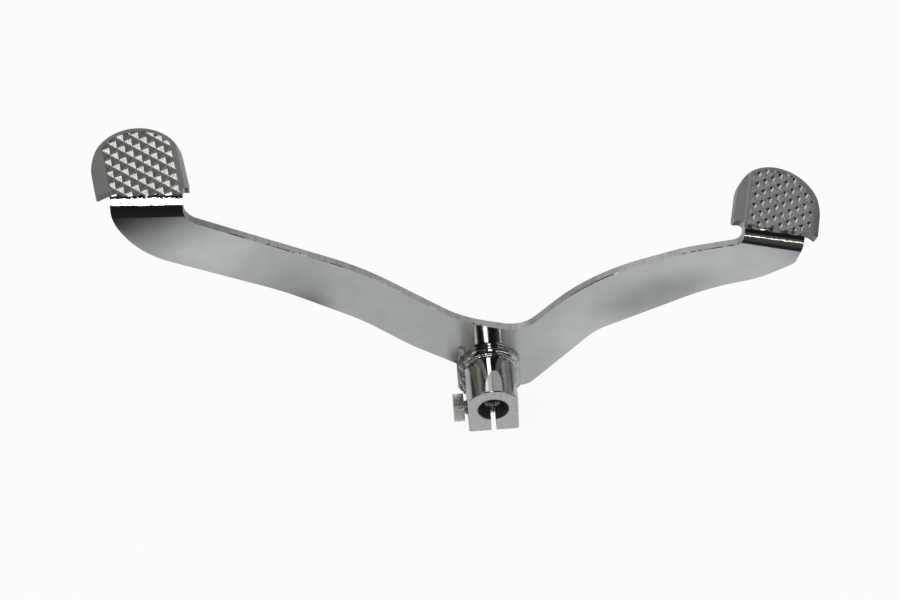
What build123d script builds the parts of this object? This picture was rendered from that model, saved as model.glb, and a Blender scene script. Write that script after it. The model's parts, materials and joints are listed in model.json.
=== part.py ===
from build123d import *
import math
import os

os.makedirs("parts", exist_ok=True)

# Motorcycle gear shift lever, toe and heel pattern.
# One stamped steel plate makes both arms. Each end is folded back into a foot pad,
# which is pressed with a diamond knurl and has its two side margins turned down.
# A split clamp boss is welded to the plate and pinches a serrated gear shaft with
# one hex bolt.
# Millimetres. The origin is on the shaft's axis, in the plate's face on the boss
# side. The boss points along -Y, the pads point along +Y, and +Z is up.

# Plate
plate_thickness = 3.0

# Clamp boss: a round bar with flatted sides and two square lugs below
boss_length = 20.0
boss_radius = 10.4
boss_width = 18.6
lug_drop = 12.3
lug_corner_round = 0.9
boss_mouth_round = 0.4

# Serrated bore and its slot
crest_radius = 5.7
serration_depth = 0.6
serration_count = 36
serration_land = 0.45
slot_width = 1.9

# Pinch bolt, a coarse hex bolt of 6 mm with 10 mm across the flats
bolt_radius = 3.0
bolt_length = 18.0
bolt_head_height = 4.0
bolt_across_flats = 10.0
bolt_head_chamfer = 0.5
bolt_tip_chamfer = 0.6
bolt_stand_off = 1.2
bolt_turn = 12.0
bolt_from_mouth = 9.2
bolt_crest_gap = 0.08
bolt_hole_clearance = 0.3
bolt_thread_clearance = 0.02

# Weld bead around the root of the boss
weld_leg_plate = 2.6
weld_leg_boss = 3.8
weld_crown_height = 1.7
weld_crown_leg = 2.0

# Hub of the plate, below and beside the boss
hub_left_margin = 2.7
hub_bottom_margin = 0.9
hub_right_x = 14.4
hub_corner_round = 1.5
hub_left_step = 3.9
hub_step_round = 1.2
hub_right_round = 6.0

# Left pad fold: the corner line's middle, its tilt, and the bend
left_fold_x = -114.4
left_fold_z = 99.6
left_fold_tilt = -4.0
left_bend_angle = 80.0
left_bend_radius = 7.0
left_neck_width = 24.6
left_pad_reach = 33.0
left_pad_splay = 10.6
left_die_shift = 0.9
left_knurl_middle = (2.0, 16.0)

# Right pad fold
right_fold_x = 103.6
right_fold_z = 59.3
right_fold_tilt = -17.5
right_bend_angle = 80.0
right_bend_radius = 5.5
right_neck_width = 22.8
right_pad_reach = 31.8
right_pad_splay = -10.9
right_die_shift = 0.5
right_knurl_middle = (1.7, 16.7)

# Foot pad, the same die at both ends. The die sits beside the pad's middle by its
# shift, and one pyramid's tip stands at the knurl's middle, across and along the pad.
pad_half_width = 15.9
pad_flat_half_width = 12.2
pad_wing_angle = 25.0
pad_wing_radius = 5.0
pad_inner_shoulder = 1.2
pad_outer_shoulder = 0.35
pad_heel_round = 0.8
pad_notch_round = 2.6
pad_bend_margin = 0.8

# Diamond knurl of the pads
knurl_width = 5.28
knurl_length = 4.88
knurl_turn = -2.0
knurl_height = 1.0
knurl_sink = 0.4
knurl_side_margin = 0.6
knurl_tip_margin = 1.4
knurl_fold_overlap = 1.6

# Corners of the plate's outline as x, z and corner radius, from the boss outwards.
# The corners at the necks are set by their drop below the fold's corner line.
left_upper_corners = [(-43.8, 57.8, 110.0)]
hub_upper_corners = [(-9.2, 26.7, 43.0), (12.9, 19.1, 11.0)]
right_upper_corners = [(37.8, 45.3, 72.0), (71.7, 55.4, 60.0)]
right_lower_corners = [(99.2, 39.3, 30.0), (80.7, 35.8, 75.0), (39.7, 17.1, 20.0)]
left_lower_corners = [(-28.2, 16.3, 80.0), (-44.9, 32.2, 80.0), (-71.9, 51.1, 120.0), (-119.4, 75.9, 32.0)]
left_neck_inner_drop = 7.6
left_neck_inner_round = 8.0
left_neck_outer_drop = 7.7
left_neck_outer_round = 24.0
right_neck_inner_drop = 5.1
right_neck_inner_round = 4.0
right_neck_outer_drop = 10.6
right_neck_outer_round = 3.0

# Worked out from the sizes above
root_radius = crest_radius + serration_depth
bolt_axis_y = bolt_from_mouth - boss_length
bolt_axis_z = -(crest_radius + bolt_crest_gap + bolt_radius)
hub_left_x = -boss_width / 2 - hub_left_margin
hub_bottom_z = hub_bottom_margin - lug_drop
depth = Vector(0, 1, 0)


class Fold:
    """The corner line where a pad is folded off the arm, and the bend along it."""

    def __init__(self, x, z, tilt, angle, radius, neck, reach, splay, shift, knurl_middle, inner_side):
        self.corner = Vector(x, 0, z)
        self.along = Vector(math.cos(math.radians(tilt)), 0, math.sin(math.radians(tilt)))
        self.up = Vector(-math.sin(math.radians(tilt)), 0, math.cos(math.radians(tilt)))
        self.angle = angle
        self.radius = radius
        self.neck = neck
        self.reach = reach
        self.splay = splay
        self.shift = shift
        self.knurl_middle = knurl_middle
        self.inner_side = inner_side
        self.setback = radius * math.tan(math.radians(angle) / 2)
        self.bend_middle = self.setback - radius * math.sin(math.radians(angle) / 2)

    def neck_corner(self, side, drop):
        point = self.corner + self.along * (side * self.neck / 2) - self.up * drop
        return point.X, point.Z

    def pad_plane(self):
        out = self.up * math.cos(math.radians(self.angle)) + depth * math.sin(math.radians(self.angle))
        return Plane(origin=self.corner, x_dir=self.along, z_dir=self.along.cross(out))


def plate_outline(left, right):
    """The plate's flat outline, with both necks running on past their folds."""
    beyond = -2.0
    lower_hub = [
        (hub_right_x, hub_bottom_z, hub_right_round),
        (hub_left_x, hub_bottom_z, hub_corner_round),
        (hub_left_x, hub_left_step, hub_step_round),
    ]
    corners = [
        (*left.neck_corner(-1, beyond), 0),
        (*left.neck_corner(1, beyond), 0),
        (*left.neck_corner(1, left_neck_inner_drop), left_neck_inner_round),
        *left_upper_corners,
        *hub_upper_corners,
        *right_upper_corners,
        (*right.neck_corner(-1, right_neck_inner_drop), right_neck_inner_round),
        (*right.neck_corner(-1, beyond), 0),
        (*right.neck_corner(1, beyond), 0),
        (*right.neck_corner(1, right_neck_outer_drop), right_neck_outer_round),
        *right_lower_corners,
        *lower_hub,
        *left_lower_corners,
        (*left.neck_corner(-1, left_neck_outer_drop), left_neck_outer_round),
    ]
    points = [(x, z) for x, z, _ in corners]
    rounds = [r for _, _, r in corners]
    return Plane.XZ * make_face(FilletPolyline(*points, radius=rounds, close=True))


def bend_sector(fold, start, end, half_width):
    """The bent sheet between two bend angles, across half_width to each side."""
    centre = (fold.radius, -fold.setback)
    outer = CenterArc(centre, fold.radius, 180 - end, end - start)
    inner = CenterArc(centre, fold.radius - plate_thickness, 180 - end, end - start)
    section = make_face([outer, inner, Line(outer @ 0, inner @ 0), Line(outer @ 1, inner @ 1)])
    plane = Plane(origin=fold.corner, x_dir=depth, z_dir=fold.along)
    return extrude(plane * section, amount=half_width, both=True)


def lower_bend(fold, outline):
    """The bend's lower half, which follows the arm's outline."""
    room = fold.radius + plate_thickness
    trim = extrude(outline, amount=room, dir=depth)
    return bend_sector(fold, 0, fold.angle / 2, fold.neck / 2 + room) & trim


def pad_section():
    """Cross-section of the pad's sheet, flat with both side margins turned down."""
    wing = pad_half_width
    turn = math.radians(pad_wing_angle)
    top = Polyline((0, 0), (pad_flat_half_width, 0))
    bend = CenterArc((pad_flat_half_width, -pad_wing_radius), pad_wing_radius, 90, -pad_wing_angle)
    tip = bend @ 1 + Vector(math.cos(turn), -math.sin(turn)) * wing
    fall = Line(bend @ 1, tip)
    under_tip = tip - Vector(math.sin(turn), math.cos(turn)) * plate_thickness
    under_radius = pad_wing_radius - plate_thickness
    under = CenterArc((pad_flat_half_width, -pad_wing_radius), under_radius, 90, -pad_wing_angle)
    edges = [
        top,
        bend,
        fall,
        Line(tip, under_tip),
        Line(under_tip, under @ 1),
        under,
        Line(under @ 0, (0, -plate_thickness)),
        Line((0, -plate_thickness), (0, 0)),
    ]
    half = make_face(edges)
    return half + mirror(half, Plane.YZ)


def pad_side(fold, side):
    """One side of the pad's plan, round its heel to the bend's middle, in the splayed frame."""
    turn = math.radians(fold.splay)
    out = Vector(math.sin(turn), math.cos(turn))
    across = Vector(math.cos(turn), -math.sin(turn))
    neck_edge = across * (side * fold.neck / 2)
    inner = side == fold.inner_side
    shoulder = pad_inner_shoulder if inner else pad_outer_shoulder
    notch = neck_edge + out * (fold.setback + shoulder / out.Y)
    edge = side * pad_half_width
    heel_length = abs(edge - notch.X)
    heel_round = min(pad_heel_round, 0.3 * heel_length)
    notch_round = min(pad_notch_round, 0.55 * heel_length) if inner else 0
    corners = [
        (edge, fold.reach - pad_half_width),
        (edge, notch.Y),
        notch,
        neck_edge + out * fold.bend_middle,
    ]
    return FilletPolyline(*corners, radius=[heel_round, notch_round])


def pad_plans(fold):
    """Plans of the flat pad and of the bend's upper half, which flares into the pad."""
    left = pad_side(fold, -1)
    right = pad_side(fold, 1)
    tip = CenterArc((0, fold.reach - pad_half_width), pad_half_width, 0, 180)
    plan = make_face([*left.edges(), *right.edges(), tip, Line(left @ 1, right @ 1)])
    room = fold.reach
    middle = fold.inner_side * (room - pad_bend_margin) / 2
    zone = Rectangle(fold.neck + pad_bend_margin + room, room, align=(Align.CENTER, Align.MAX))
    bend_zone = Rot(0, 0, -fold.splay) * Pos(middle, fold.setback) * zone
    return plan - bend_zone, plan & bend_zone


def knurl(fold):
    """The pyramids of the knurl, as one block, and the pocket they stand in."""
    half_width = pad_flat_half_width - knurl_side_margin
    strip = Pos(fold.shift, fold.reach / 2) * Rectangle(2 * half_width, fold.reach)
    tip_centre = fold.reach - pad_half_width
    tip = Pos(0, tip_centre) * Circle(pad_half_width - knurl_tip_margin)
    beside_tip = Rectangle(2 * pad_half_width, 2 * tip_centre)
    room = 4 * fold.reach
    beyond = Rectangle(room, room, align=(Align.CENTER, Align.MIN))
    on_neck = Rectangle(fold.neck - 2 * knurl_side_margin, room, align=(Align.CENTER, Align.MIN))
    past_fold = Pos(0, fold.setback - knurl_fold_overlap) * on_neck
    past_heel = Pos(0, fold.setback + pad_inner_shoulder + knurl_side_margin) * beyond
    field = (tip + beside_tip) & strip & (Rot(0, 0, -fold.splay) * (past_fold + past_heel))
    pocket = Pos(0, 0, -knurl_sink) * extrude(field, amount=knurl_height)
    lean = math.degrees(math.atan2(knurl_width, knurl_length))
    pitch = knurl_length * math.sin(math.radians(lean))
    valley = make_face(Polyline((0, 0), (pitch / 2, knurl_height), (-pitch / 2, knurl_height), (0, 0)))
    groove = extrude(Plane.XZ * valley, amount=2 * fold.reach, both=True)
    count = math.ceil(fold.reach / pitch)
    middle = Pos(*fold.knurl_middle, -knurl_sink) * Rot(0, 0, knurl_turn)
    grooves = []
    for turn in (lean, -lean):
        for step in range(-count, count + 1):
            grooves.append(middle * Rot(0, 0, turn) * Pos((step + 0.5) * pitch, 0, 0) * groove)
    return pocket - grooves, pocket


def foot_pad(fold):
    """A knurled pad in place, from the middle of its bend to its tip."""
    room = 2 * fold.reach
    place = fold.pad_plane().location * Rot(0, 0, fold.splay)
    flat_plan, bend_plan = pad_plans(fold)
    section = Pos(fold.shift, 0, 0) * extrude(Plane.XZ * pad_section(), amount=room, both=True)
    sheet = section & extrude(flat_plan, amount=room / 2, both=True)
    bend = bend_sector(fold, fold.angle / 2, fold.angle, fold.neck / 2 + room)
    bend = bend & (place * extrude(bend_plan, amount=room / 2, both=True))
    pyramids, pocket = knurl(fold)
    return bend + place * sheet - place * pocket + place * pyramids


def lever_plate(left, right):
    """The stamped plate with both arms and both folded pads, in one piece."""
    outline = plate_outline(left, right)
    plate = extrude(outline, amount=plate_thickness, dir=depth)
    for fold in (left, right):
        start = Plane(origin=fold.corner - fold.up * fold.setback, x_dir=fold.along, z_dir=fold.up)
        room = 2 * fold.neck
        past_fold = Box(room, room, room, align=(Align.CENTER, Align.CENTER, Align.MIN))
        plate = plate - start.location * past_fold
    for fold in (left, right):
        plate = plate + lower_bend(fold, outline) + foot_pad(fold)
    return plate


def boss_section(grown=0.0):
    """End view of the boss: a round bar flatted at both sides, square at the bottom."""
    width = boss_width + 2 * grown
    bottom = lug_drop + grown
    radius = boss_radius + grown
    lugs = Pos(0, -bottom / 2) * Rectangle(width, bottom)
    flats = Pos(0, (radius - bottom) / 2) * Rectangle(width, radius + bottom)
    return (Circle(radius) + lugs) & flats


def serrated_hole():
    """Outline of the bore: lands on the crest circle, with grooves cut to the root."""
    pitch = 360 / serration_count
    land = math.degrees(serration_land / crest_radius)
    edges = []
    for step in range(serration_count):
        start = 90 + step * pitch - land / 2
        crest = CenterArc((0, 0), crest_radius, start, land)
        groove = math.radians(start + land + (pitch - land) / 2)
        following = math.radians(start + pitch)
        root = Vector(math.cos(groove), math.sin(groove)) * root_radius
        next_crest = Vector(math.cos(following), math.sin(following)) * crest_radius
        edges += [crest, Line(crest @ 1, root), Line(root, next_crest)]
    return make_face(edges)


def along_x(start, end, radius, y, z):
    """A cylinder along X from start to end."""
    circle = Plane(origin=(start, y, z), x_dir=(0, 1, 0), z_dir=(1, 0, 0)) * Circle(radius)
    return extrude(circle, amount=end - start)


def split_boss():
    """The clamp boss with its serrated bore, its slot and the bolt's two holes."""
    section = boss_section()
    corners = section.vertices().group_by(Axis.Y)[0]
    section = fillet(corners, lug_corner_round)
    boss = extrude(Plane.XZ * section, amount=boss_length)
    mouth = boss.faces().sort_by(Axis.Y)[0]
    boss = fillet(mouth.edges(), boss_mouth_round)
    boss = boss - extrude(Plane.XZ * serrated_hole(), amount=boss_length)
    slot = Box(slot_width, boss_length, lug_drop, align=(Align.CENTER, Align.MAX, Align.MAX))
    side = boss_width / 2
    clear_hole = along_x(-side, 0, bolt_radius + bolt_hole_clearance, bolt_axis_y, bolt_axis_z)
    tapped_hole = along_x(0, side, bolt_radius + bolt_thread_clearance, bolt_axis_y, bolt_axis_z)
    return boss - slot - clear_hole - tapped_hole


def fillet_weld():
    """The bead that joins the boss to the plate, over its top and down both sides."""
    steps = [(0, weld_leg_plate), (weld_crown_height, weld_crown_leg), (weld_leg_boss, 0)]
    rings = [Plane.XZ.offset(height) * boss_section(leg) for height, leg in steps]
    bead = loft(rings, ruled=True) - extrude(Plane.XZ * boss_section(), amount=weld_leg_boss)
    room = 2 * (boss_radius + lug_drop)
    below = Pos(0, 0, hub_bottom_z) * Box(room, room, room, align=(Align.CENTER, Align.CENTER, Align.MAX))
    return bead - below


def hex_bolt():
    """The pinch bolt, with its head standing off the clear lug."""
    seat = -boss_width / 2 - bolt_stand_off
    corner_radius = bolt_across_flats / math.sqrt(3)
    start = seat - bolt_head_height
    blank = Plane(origin=(start, bolt_axis_y, bolt_axis_z), x_dir=(0, 1, 0), z_dir=(1, 0, 0))
    hexagon = blank * Rot(0, 0, bolt_turn) * RegularPolygon(corner_radius, 6)
    head = extrude(hexagon, amount=bolt_head_height)
    turned = along_x(start, seat, corner_radius, bolt_axis_y, bolt_axis_z)
    outer_edge = turned.edges().filter_by(GeomType.CIRCLE).sort_by(Axis.X)[0]
    head = head & chamfer(outer_edge, bolt_head_chamfer)
    shank = along_x(seat, seat + bolt_length, bolt_radius, bolt_axis_y, bolt_axis_z)
    tip_edge = shank.edges().filter_by(GeomType.CIRCLE).sort_by(Axis.X)[-1]
    return head + chamfer(tip_edge, bolt_tip_chamfer)


left_fold = Fold(left_fold_x, left_fold_z, left_fold_tilt, left_bend_angle, left_bend_radius,
                 left_neck_width, left_pad_reach, left_pad_splay, left_die_shift,
                 left_knurl_middle, inner_side=1)
right_fold = Fold(right_fold_x, right_fold_z, right_fold_tilt, right_bend_angle, right_bend_radius,
                  right_neck_width, right_pad_reach, right_pad_splay, right_die_shift,
                  right_knurl_middle, inner_side=-1)

parts = {
    "lever_arm": lever_plate(left_fold, right_fold),
    "clamp_boss": split_boss(),
    "weld_bead": fillet_weld(),
    "pinch_bolt": hex_bolt(),
}
for name, part in parts.items():
    print(name, len(part.solids()), "solid,", round(part.volume, 1), "mm3, valid:", part.is_valid)
    export_step(part, f"parts/{name}.step")
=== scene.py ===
import bpy
import bmesh
import json
import math
import random
from mathutils import Euler, Matrix, Vector

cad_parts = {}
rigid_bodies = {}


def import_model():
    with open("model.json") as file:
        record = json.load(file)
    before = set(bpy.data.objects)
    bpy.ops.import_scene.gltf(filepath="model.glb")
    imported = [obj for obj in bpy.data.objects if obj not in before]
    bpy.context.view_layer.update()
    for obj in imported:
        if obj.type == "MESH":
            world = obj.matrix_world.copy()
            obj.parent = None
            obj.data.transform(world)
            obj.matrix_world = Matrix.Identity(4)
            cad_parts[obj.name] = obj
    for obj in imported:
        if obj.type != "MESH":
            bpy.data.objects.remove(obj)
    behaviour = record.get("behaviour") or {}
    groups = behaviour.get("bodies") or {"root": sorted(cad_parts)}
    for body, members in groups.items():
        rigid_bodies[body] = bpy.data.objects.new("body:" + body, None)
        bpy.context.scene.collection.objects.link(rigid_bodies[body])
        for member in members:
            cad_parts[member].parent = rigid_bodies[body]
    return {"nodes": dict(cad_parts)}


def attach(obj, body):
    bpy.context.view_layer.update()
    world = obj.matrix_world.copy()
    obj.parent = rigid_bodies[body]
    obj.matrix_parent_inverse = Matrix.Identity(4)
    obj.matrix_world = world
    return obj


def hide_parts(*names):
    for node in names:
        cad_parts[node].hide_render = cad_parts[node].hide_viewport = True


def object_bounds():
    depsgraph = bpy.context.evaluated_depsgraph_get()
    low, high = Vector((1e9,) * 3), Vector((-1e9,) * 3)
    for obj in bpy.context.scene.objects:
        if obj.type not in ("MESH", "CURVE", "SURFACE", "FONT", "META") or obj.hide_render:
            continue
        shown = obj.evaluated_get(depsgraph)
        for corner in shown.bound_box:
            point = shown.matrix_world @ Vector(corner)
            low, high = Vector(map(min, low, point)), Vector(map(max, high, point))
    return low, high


# Motorcycle gear shift lever: a chromed plate with two knurled foot pads, a welded
# split clamp and its pinch bolt. Lengths are in metres and angles in degrees.

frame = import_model()
cadLow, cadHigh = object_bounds()
mm = 0.001
plateThickness = 3 * mm
boltPlace = (0, -10.8 * mm, -8.78 * mm)   # the middle of the clamp, on the bolt's axis


def deselectAll():
    for item in bpy.data.objects:
        item.select_set(False)


deselectAll()   # so that no operator reaches the CAD nodes


def emptyMaterial(name):
    material = bpy.data.materials.new(name)
    material.use_nodes = True
    tree = material.node_tree
    tree.nodes.clear()
    return material, tree, tree.nodes.new("ShaderNodeOutputMaterial")


def newMaterial(name):
    material, tree, output = emptyMaterial(name)
    shader = tree.nodes.new("ShaderNodeBsdfPrincipled")
    tree.links.new(shader.outputs["BSDF"], output.inputs["Surface"])
    return material, tree, shader


# sets a plain number or colour on a socket, or links another socket to it
def feed(tree, socket, value):
    if isinstance(value, tuple):
        socket.default_value = (*value, 1)
    elif isinstance(value, (int, float)):
        socket.default_value = value
    else:
        tree.links.new(value, socket)


# noise on object coordinates, scale in features per metre
def addNoise(tree, scale, detail=2.0, roughness=0.5, stretch=(1, 1, 1)):
    place = tree.nodes.new("ShaderNodeTexCoord")
    mapping = tree.nodes.new("ShaderNodeMapping")
    noise = tree.nodes.new("ShaderNodeTexNoise")
    mapping.inputs["Scale"].default_value = stretch
    noise.inputs["Scale"].default_value = scale
    noise.inputs["Detail"].default_value = detail
    noise.inputs["Roughness"].default_value = roughness
    tree.links.new(place.outputs["Object"], mapping.inputs["Vector"])
    tree.links.new(mapping.outputs["Vector"], noise.inputs["Vector"])
    return noise.outputs["Fac"]


# colour ramp over a value, stops as (place, grey or colour)
def addRamp(tree, value, stops, interpolation="LINEAR"):
    ramp = tree.nodes.new("ShaderNodeValToRGB")
    ramp.color_ramp.interpolation = interpolation
    elements = ramp.color_ramp.elements
    while len(elements) < len(stops):
        elements.new(0.5)
    for element, (place, colour) in zip(elements, stops):
        element.position = place
        element.color = (*colour, 1) if isinstance(colour, tuple) else (colour, colour, colour, 1)
    tree.links.new(value, ramp.inputs["Fac"])
    return ramp.outputs["Color"]


# a value that goes smoothly from bottom to top as the input goes from low to high
def addStep(tree, value, low, high, bottom=0.0, top=1.0):
    step = tree.nodes.new("ShaderNodeMapRange")
    step.interpolation_type = "SMOOTHSTEP"
    step.inputs["From Min"].default_value = low
    step.inputs["From Max"].default_value = high
    step.inputs["To Min"].default_value = bottom
    step.inputs["To Max"].default_value = top
    tree.links.new(value, step.inputs["Value"])
    return step.outputs[0]


# 1 below low and 0 above high
def addFall(tree, value, low, high):
    return addStep(tree, value, low, high, 1, 0)


def addMath(tree, operation, first, second=0):
    node = tree.nodes.new("ShaderNodeMath")
    node.operation = operation
    for socket, value in zip(node.inputs, (first, second)):
        feed(tree, socket, value)
    return node.outputs[0]


# folds several values into one, two at a time
def addFolded(tree, operation, values):
    result = values[0]
    for value in values[1:]:
        result = addMath(tree, operation, result, value)
    return result


def addProduct(tree, *values):
    return addFolded(tree, "MULTIPLY", values)


def addSum(tree, *values):
    return addFolded(tree, "ADD", values)


def addLargest(tree, *values):
    return addFolded(tree, "MAXIMUM", values)


def addVectorMath(tree, operation, vector, other=(0, 0, 0)):
    node = tree.nodes.new("ShaderNodeVectorMath")
    node.operation = operation
    node.inputs[1].default_value = other
    tree.links.new(vector, node.inputs[0])
    return node.outputs["Value" if operation in ("LENGTH", "DOT_PRODUCT") else "Vector"]


# a place or a normal split into X, Y and Z
def addAxes(tree, vector):
    split = tree.nodes.new("ShaderNodeSeparateXYZ")
    tree.links.new(vector, split.inputs[0])
    return split.outputs


def addColourMix(tree, share, first, second, blend="MIX"):
    mix = tree.nodes.new("ShaderNodeMix")
    mix.data_type = "RGBA"
    mix.blend_type = blend
    for name, value in (("Factor", share), ("A", first), ("B", second)):
        feed(tree, [item for item in mix.inputs if item.name == name and item.enabled][0], value)
    return [item for item in mix.outputs if item.enabled][0]


# a soft ellipse on object coordinates, 1 inside and 0 outside
def addPatch(tree, centre, size, turn=0, soft=(0.2, 1.3)):
    place = tree.nodes.new("ShaderNodeTexCoord")
    mapping = tree.nodes.new("ShaderNodeMapping")
    mapping.vector_type = "TEXTURE"
    mapping.inputs["Location"].default_value = (*centre, 0)
    mapping.inputs["Rotation"].default_value = (0, 0, math.radians(turn))
    mapping.inputs["Scale"].default_value = (*size, 1)
    tree.links.new(place.outputs["Object"], mapping.inputs["Vector"])
    flat = addVectorMath(tree, "MULTIPLY", mapping.outputs["Vector"], (1, 1, 0))
    return addFall(tree, addVectorMath(tree, "LENGTH", flat), *soft)


# bump maps one over the other, as (height, distance in metres, strength)
def addBumps(tree, shader, layers):
    last = None
    for height, distance, strength in layers:
        bump = tree.nodes.new("ShaderNodeBump")
        bump.inputs["Distance"].default_value = distance
        bump.inputs["Strength"].default_value = strength
        tree.links.new(height, bump.inputs["Height"])
        if last:
            tree.links.new(last, bump.inputs["Normal"])
        last = bump.outputs["Normal"]
    tree.links.new(last, shader.inputs["Normal"])


# the stamped plate: polished faces, rougher sheared edges with painted highlights and painted dark
# reflections along the front corner, painted shade on the heel faces, and worn knurls with a
# painted shadow and a painted highlight by every crest of the right knurl and painted shade in the
# grooves
leverChrome = {
    "clean": (0.60, 0.61, 0.61),
    "dull": (0.54, 0.55, 0.54),
    "edge": (0.62, 0.62, 0.605),
    "edgeDull": (0.50, 0.50, 0.48),
    "leftEndEdge": 0.62,          # the edge is darker by the left pad
    "leftEnd": (-94 * mm, -78 * mm),
    # painted shade: the heel faces, which face the front, are painted dark
    "heel": (0.22, 0.22, 0.21),
    # painted shade in the knurls' grooves
    "groove": (0.30, 0.30, 0.29),
    "padTone": 0.80,
    "rightKnurlLight": 1.32,            # the right knurl is painted lighter than the left one
    "mottle": (0.70, 1.25),
    # share that is dull rather than mirror, on the worn pads, the sheared edge and the painted
    # highlights on the corner and by the crests
    "padBare": 0.18,
    "edgeBare": 0.42,
    "markBare": 0.75,
    "armRough": (0.10, 0.14),
    "foldRough": 0.05,
    "edgeRough": 0.40,
    "padRough": 0.16,
    "knurlRough": 0.24,
    # round the boss the plate is duller, and clear only where it mirrors the boss's top
    "hub": (20 * mm, 50 * mm),
    "hubRough": 0.25,
    "hubDull": 0.48,
    "hubMirror": 0.08,
    "mirrorMiddle": 0.5 * mm,
    "mirrorHalf": (5.1 * mm, 6.1 * mm),
    "dullHalf": (8.5 * mm, 11 * mm),
    "mirrorAbove": (6 * mm, 9 * mm),
    "mirrorDepth": (1 * mm, 2 * mm),
    # noises, as scale, detail, roughness and stretch
    "film": (90, 4.0, 0.6),
    "haze": (35, 5.0, 0.65),
    "shear": (500, 4.0, 0.6, (1, 0.25, 1)),
    "grain": (1400, 3.0, 0.7),
    "ragged": (700, 3.0, 0.7),
    "rippleNoise": (620, 2.0),
    "ripple": 0.06 * mm,
    # where each kind of surface starts and ends, in depth or in how far it faces back
    "thickness": plateThickness,
    "edgeFacing": (0.22, 0.42),
    "heelFacing": (-0.95, -0.8),
    "heelFrom": (2 * mm, 4 * mm),
    "foldStart": (-0.995, -0.95),
    "foldEnd": (-0.45, -0.3),
    "foldTo": (5 * mm, 6 * mm),
    "padFrom": (4.2 * mm, 4.8 * mm),
    # direction out of each pad, and how far its knurl's crests lie along it
    "knurls": [((0.075, -0.173, 0.982), 89.88 * mm), ((0.298, -0.174, 0.939), 87.10 * mm)],
    "knurlDepth": 1.1 * mm,
    "facetLean": 0.873,           # cosine between a facet and its pad
    "facetSpread": (0.012, 0.02),
    "grooveShadeWander": 0.6 * mm,
    # one crest of the right pad, the two steps to its neighbours, and the painted shadow and
    # painted highlight round every crest
    "crest": (107.44 * mm, 18.65 * mm, 62.18 * mm),
    "steps": ((3.12 * mm, 1.79 * mm), (-2.03 * mm, 2.97 * mm)),
    "shadedPit": {"place": (-0.50 * mm, -0.05 * mm), "size": (0.62 * mm, 0.52 * mm), "lean": 0.2,
            "colour": (0.05, 0.05, 0.05)},
    "highlightTick": {"place": (-0.12 * mm, -0.85 * mm), "size": (0.30 * mm, 0.85 * mm), "lean": 0.3,
             "colour": (0.92, 0.91, 0.88)},
    # painted dark reflections and painted highlights on the front corner along X: (place, how many)
    "darkCornerReflections": {
        "noise": (520, 5.0, 0.75), "from": (1.06, 1.12), "colour": (0.035, 0.035, 0.037),
        "places": [(-0.0890, 0.90), (-0.0835, 0.30), (-0.0760, 0.62), (-0.0500, 0.30),
                   (-0.0080, 0.55), (0.0020, 0.20), (0.0300, 0.66), (0.0465, 0.35),
                   (0.0700, 0.60), (0.0900, 0.10)],
    },
    "cornerHighlights": {
        "noise": (900, 4.0, 0.7), "from": (1.12, 1.18), "colour": (0.90, 0.90, 0.90),
        "places": [(-0.0680, 0.66), (-0.0590, 0.25), (-0.0400, 0.62), (-0.0300, 0.20),
                   (-0.0210, 0.75), (-0.0180, 0.10), (0.0455, 0.95), (0.0475, 0.10)],
    },
    "cornerFrom": (0.0, 0.05 * mm),
    "cornerTo": (0.35 * mm, 0.65 * mm),
}


# where each kind of surface of the plate is
def addPlateMasks(tree, look, depth, frontal):
    sheared = addFall(tree, addMath(tree, "ABSOLUTE", frontal), *look["edgeFacing"])
    inPlate = addFall(tree, depth, look["thickness"], look["thickness"] + 0.4 * mm)
    return {
        "edge": addProduct(tree, sheared, inPlate),
        "pad": addStep(tree, depth, *look["padFrom"]),
        "heel": addProduct(tree, addFall(tree, frontal, *look["heelFacing"]),
                           addStep(tree, depth, *look["heelFrom"])),
        "fold": addProduct(tree, addStep(tree, frontal, *look["foldStart"]),
                           addFall(tree, frontal, *look["foldEnd"]),
                           addFall(tree, depth, *look["foldTo"])),
        "corner": addProduct(tree, addStep(tree, depth, *look["cornerFrom"]),
                             addFall(tree, depth, *look["cornerTo"])),
    }


# the facets of the left and the right knurl, and each one's height above its crests
def addKnurls(tree, look, place, along, onPad):
    isRight = addMath(tree, "GREATER_THAN", along, 0)
    isLeft = addMath(tree, "SUBTRACT", 1, isRight)
    facets, heights = [], []
    for side, (direction, reach) in zip((isLeft, isRight), look["knurls"]):
        lean = addVectorMath(tree, "DOT_PRODUCT", place.outputs["Normal"], direction)
        astray = addMath(tree, "ABSOLUTE", addMath(tree, "SUBTRACT", lean, look["facetLean"]))
        facet = addProduct(tree, side, addFall(tree, astray, *look["facetSpread"]), onPad)
        height = addVectorMath(tree, "DOT_PRODUCT", place.outputs["Object"], direction)
        facets.append(facet)
        heights.append(addProduct(tree, addMath(tree, "SUBTRACT", height, reach), facet))
    return facets, addSum(tree, *heights)


# a place in the plane of the right pad, measured from the nearest crest of its knurl
def addCrestPlace(tree, place, look):
    normal = Vector(look["knurls"][1][0]).normalized()
    across = Vector((normal.z, 0, -normal.x)).normalized()
    upward = normal.cross(across)
    upward = -upward if upward.y < 0 else upward
    first, second = [Vector(step) for step in look["steps"]]
    area = first.x * second.y - first.y * second.x
    shares = [(second.y / area, -second.x / area), (-first.y / area, first.x / area)]
    start = addVectorMath(tree, "SUBTRACT", place, look["crest"])
    rests = []
    for share in shares:
        count = addVectorMath(tree, "DOT_PRODUCT", start, across * share[0] + upward * share[1])
        rest = addMath(tree, "FRACT", addSum(tree, count, 0.5))
        rests.append(addMath(tree, "SUBTRACT", rest, 0.5))
    return [addSum(tree, addProduct(tree, rests[0], first[axis]),
                   addProduct(tree, rests[1], second[axis])) for axis in (0, 1)]


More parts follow.
